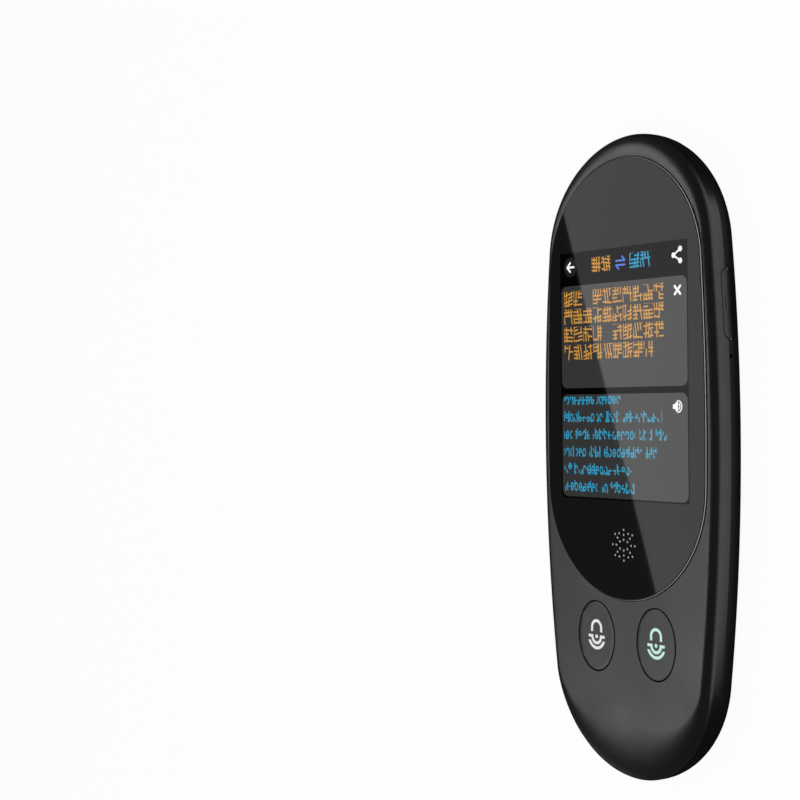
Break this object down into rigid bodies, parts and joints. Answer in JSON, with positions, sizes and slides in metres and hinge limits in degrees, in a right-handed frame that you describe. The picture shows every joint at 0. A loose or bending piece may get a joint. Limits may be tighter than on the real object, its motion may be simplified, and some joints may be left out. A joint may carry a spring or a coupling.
{
  "type": "handheld translator",
  "caption": "Slim oval handheld translator with a touch display under an oval glass, talk buttons, a speaker pattern and a small card door on its side.",
  "frame": {"origin": "on the flat back, under the middle of the body's outline", "axes": "+Y along the length towards the top end, +X to the right seen from the front, +Z out of the front face"},
  "size_m": [0.0588, 0.1468, 0.0117],
  "materials": {
    "housing_plastic": "satin black, very fine grain",
    "rear_plastic": "satin black, slightly darker",
    "button_plastic": "satin black",
    "cover_glass": "black-bordered cover glass over the display",
    "display": null,
    "icon_white": "white light guide",
    "icon_mint": "mint light guide",
    "plunger": "natural plastic",
    "black_parts": "moulded black component",
    "foam": "black foam and adhesive",
    "sheet_steel": "stamped sheet metal",
    "screw_steel": "black oxide screws",
    "brass": "knurled brass inserts",
    "board": "green solder mask",
    "flex": "polyimide flex",
    "battery_pouch": "laminated pouch foil",
    "mesh": "light grey acoustic mesh"
  },
  "bodies": {
    "root": {"front_housing": "housing_plastic", "rear_cover": "rear_plastic", "cover_glass": "cover_glass", "glass_adhesive": "foam", "lcd_panel": "display", "backlight": "sheet_steel", "display_foam": "foam", "chassis_plate": "sheet_steel", "display_flex": "flex", "talk_switches": "black_parts", "lower_board": "board", "main_board": "board", "shield_cans": "sheet_steel", "board_chips": "black_parts", "flex_connectors": "black_parts", "board_link_flex": "flex", "battery": "battery_pouch", "battery_tape": "foam", "battery_lead": "flex", "speaker": "black_parts", "speaker_gasket": "foam", "speaker_mesh": "mesh", "usb_socket": "sheet_steel", "usb_tongue": "black_parts", "microphones": "sheet_steel", "vibration_motor": "sheet_steel", "radio_antenna": "flex", "card_socket": "sheet_steel", "door_pin": "sheet_steel", "reset_switch": "black_parts", "side_switches": "black_parts", "housing_screws": "screw_steel", "board_screws": "screw_steel", "screw_inserts": "brass"},
    "talk_button_left": {"talk_button_left": "button_plastic", "talk_icon_left": "icon_white", "talk_plunger_left": "plunger"},
    "talk_button_right": {"talk_button_right": "button_plastic", "talk_icon_right": "icon_mint", "talk_plunger_right": "plunger"},
    "card_door": {"card_door": "housing_plastic"},
    "reset_plunger": {"reset_plunger": "plunger"},
    "power_key": {"power_key": "button_plastic"},
    "volume_up_key": {"volume_up_key": "button_plastic"},
    "volume_down_key": {"volume_down_key": "button_plastic"}
  },
  "joints": [
    {"name": "talk_left_press", "type": "slide", "parent": "root", "child": "talk_button_left", "axis": [0, 0, -1], "range_m": [0, 0.0004], "stiffness_N_per_m": 1500},
    {"name": "talk_right_press", "type": "slide", "parent": "root", "child": "talk_button_right", "axis": [0, 0, -1], "range_m": [0, 0.0004], "stiffness_N_per_m": 1500},
    {"name": "card_door_hinge", "type": "hinge", "parent": "root", "child": "card_door", "pos_m": [0.02807, 0.03327, 0.00605], "axis": [-0.0634, 0.998, 0], "range_deg": [0, 100]},
    {"name": "reset_press", "type": "slide", "parent": "root", "child": "reset_plunger", "axis": [-0.9993, -0.0376, 0], "range_m": [0, 0.00025], "stiffness_N_per_m": 1000},
    {"name": "power_press", "type": "slide", "parent": "root", "child": "power_key", "axis": [1, -0.0057, 0], "range_m": [0, 0.0003], "stiffness_N_per_m": 1500},
    {"name": "volume_up_press", "type": "slide", "parent": "root", "child": "volume_up_key", "axis": [0.9972, -0.0741, 0], "range_m": [0, 0.0003], "stiffness_N_per_m": 1500},
    {"name": "volume_down_press", "type": "slide", "parent": "root", "child": "volume_down_key", "axis": [0.9989, -0.0468, 0], "range_m": [0, 0.0003], "stiffness_N_per_m": 1500}
  ]
}
